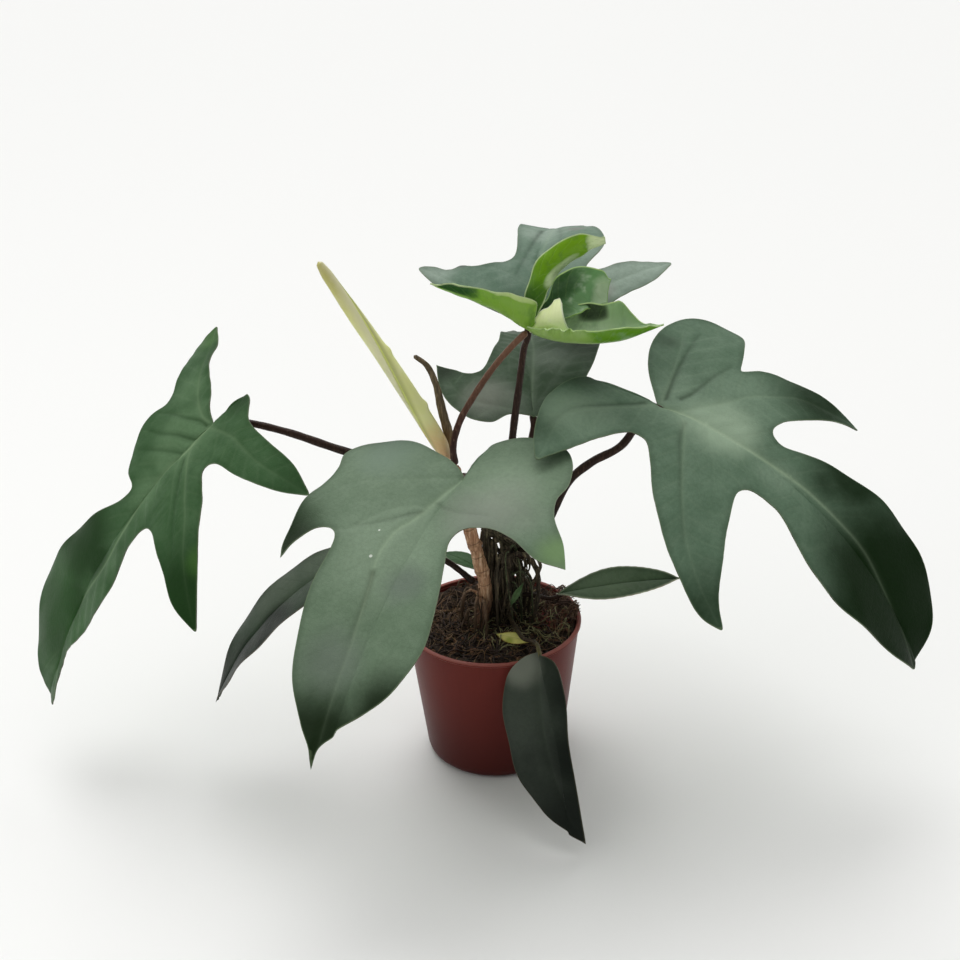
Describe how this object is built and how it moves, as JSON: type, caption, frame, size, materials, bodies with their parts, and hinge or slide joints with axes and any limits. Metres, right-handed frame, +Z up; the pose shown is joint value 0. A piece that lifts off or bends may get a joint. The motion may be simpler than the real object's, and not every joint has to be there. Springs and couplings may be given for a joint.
{
  "type": "potted airplane philodendron",
  "caption": "Houseplant with arched, lobed leaves on dark petioles, a new leaf rolled into a spear and another unrolling, two shoots rooted in soil in a round tapered nursery pot.",
  "frame": {"origin": "middle of the underside of the pot", "axes": "+Z up along the pot's axis, +X towards the right-hand leaf, -Y towards the front leaf"},
  "size_m": [0.5915, 0.3916, 0.3592],
  "materials": {
    "pot_plastic": "satin",
    "potting_mix": "matte",
    "stem_bark": "matte",
    "dark_stem_bark": "matte",
    "mature_leaf": "satin",
    "dark_leaf": "satin",
    "young_leaf": "satin",
    "rolled_leaf": "satin",
    "yellow_leaf": "matte",
    "dry_sheath": "matte",
    "petiole": "satin",
    "red_petiole": "satin"
  },
  "bodies": {
    "root": {"pot": "pot_plastic", "root_ball": "potting_mix", "main_shoot": "stem_bark", "side_shoot": "dark_stem_bark", "right_leaf_blade": "mature_leaf", "right_leaf_petiole": "petiole", "left_leaf_blade": "mature_leaf", "left_leaf_petiole": "petiole", "front_leaf_blade": "mature_leaf", "front_leaf_petiole": "petiole", "crown_leaf_blade": "mature_leaf", "crown_leaf_petiole": "petiole", "back_leaf_blade": "mature_leaf", "back_leaf_petiole": "petiole", "young_leaf_blade": "young_leaf", "young_leaf_petiole": "red_petiole", "spear": "rolled_leaf", "sheath": "dry_sheath", "low_left_leaf_blade": "dark_leaf", "low_left_leaf_petiole": "petiole", "droop_leaf_blade": "dark_leaf", "droop_leaf_petiole": "petiole", "small_right_leaf_blade": "dark_leaf", "small_right_leaf_petiole": "petiole", "small_back_leaf_blade": "mature_leaf", "small_back_leaf_petiole": "petiole", "fallen_leaf": "yellow_leaf"}
  },
  "joints": []
}
